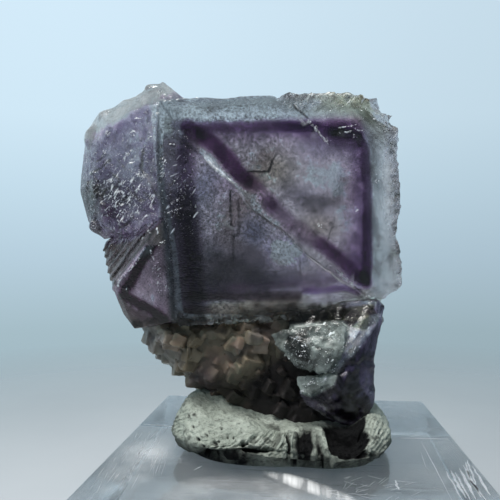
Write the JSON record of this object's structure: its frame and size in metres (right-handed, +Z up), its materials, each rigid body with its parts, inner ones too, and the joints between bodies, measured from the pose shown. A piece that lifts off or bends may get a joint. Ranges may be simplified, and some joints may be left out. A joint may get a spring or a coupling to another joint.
{
  "type": "phantom fluorite cube specimen",
  "caption": "Clear fluorite cube with purple phantom zones, grown together with lesser cubes and matrix, stood in grey tack on a clear acrylic display block",
  "frame": {"origin": "centre of the acrylic block's underside, on the surface that it stands on", "axes": "+X to the right and +Y to the back as seen facing the main cube face, +Z up through the specimen"},
  "size_m": [0.0517, 0.045, 0.0726],
  "materials": {
    "fluorite": "translucent grey-violet crystal, greenish clear outer zone, dark purple phantom zones, growth steps and small chips",
    "tack": "matt grey-green putty, pulled, pitted and finger-marked",
    "acrylic": "clear polished acrylic with fine scratches"
  },
  "bodies": {
    "root": {"fluorite_specimen": "fluorite", "mineral_tack": "tack", "acrylic_block": "acrylic"}
  },
  "joints": []
}
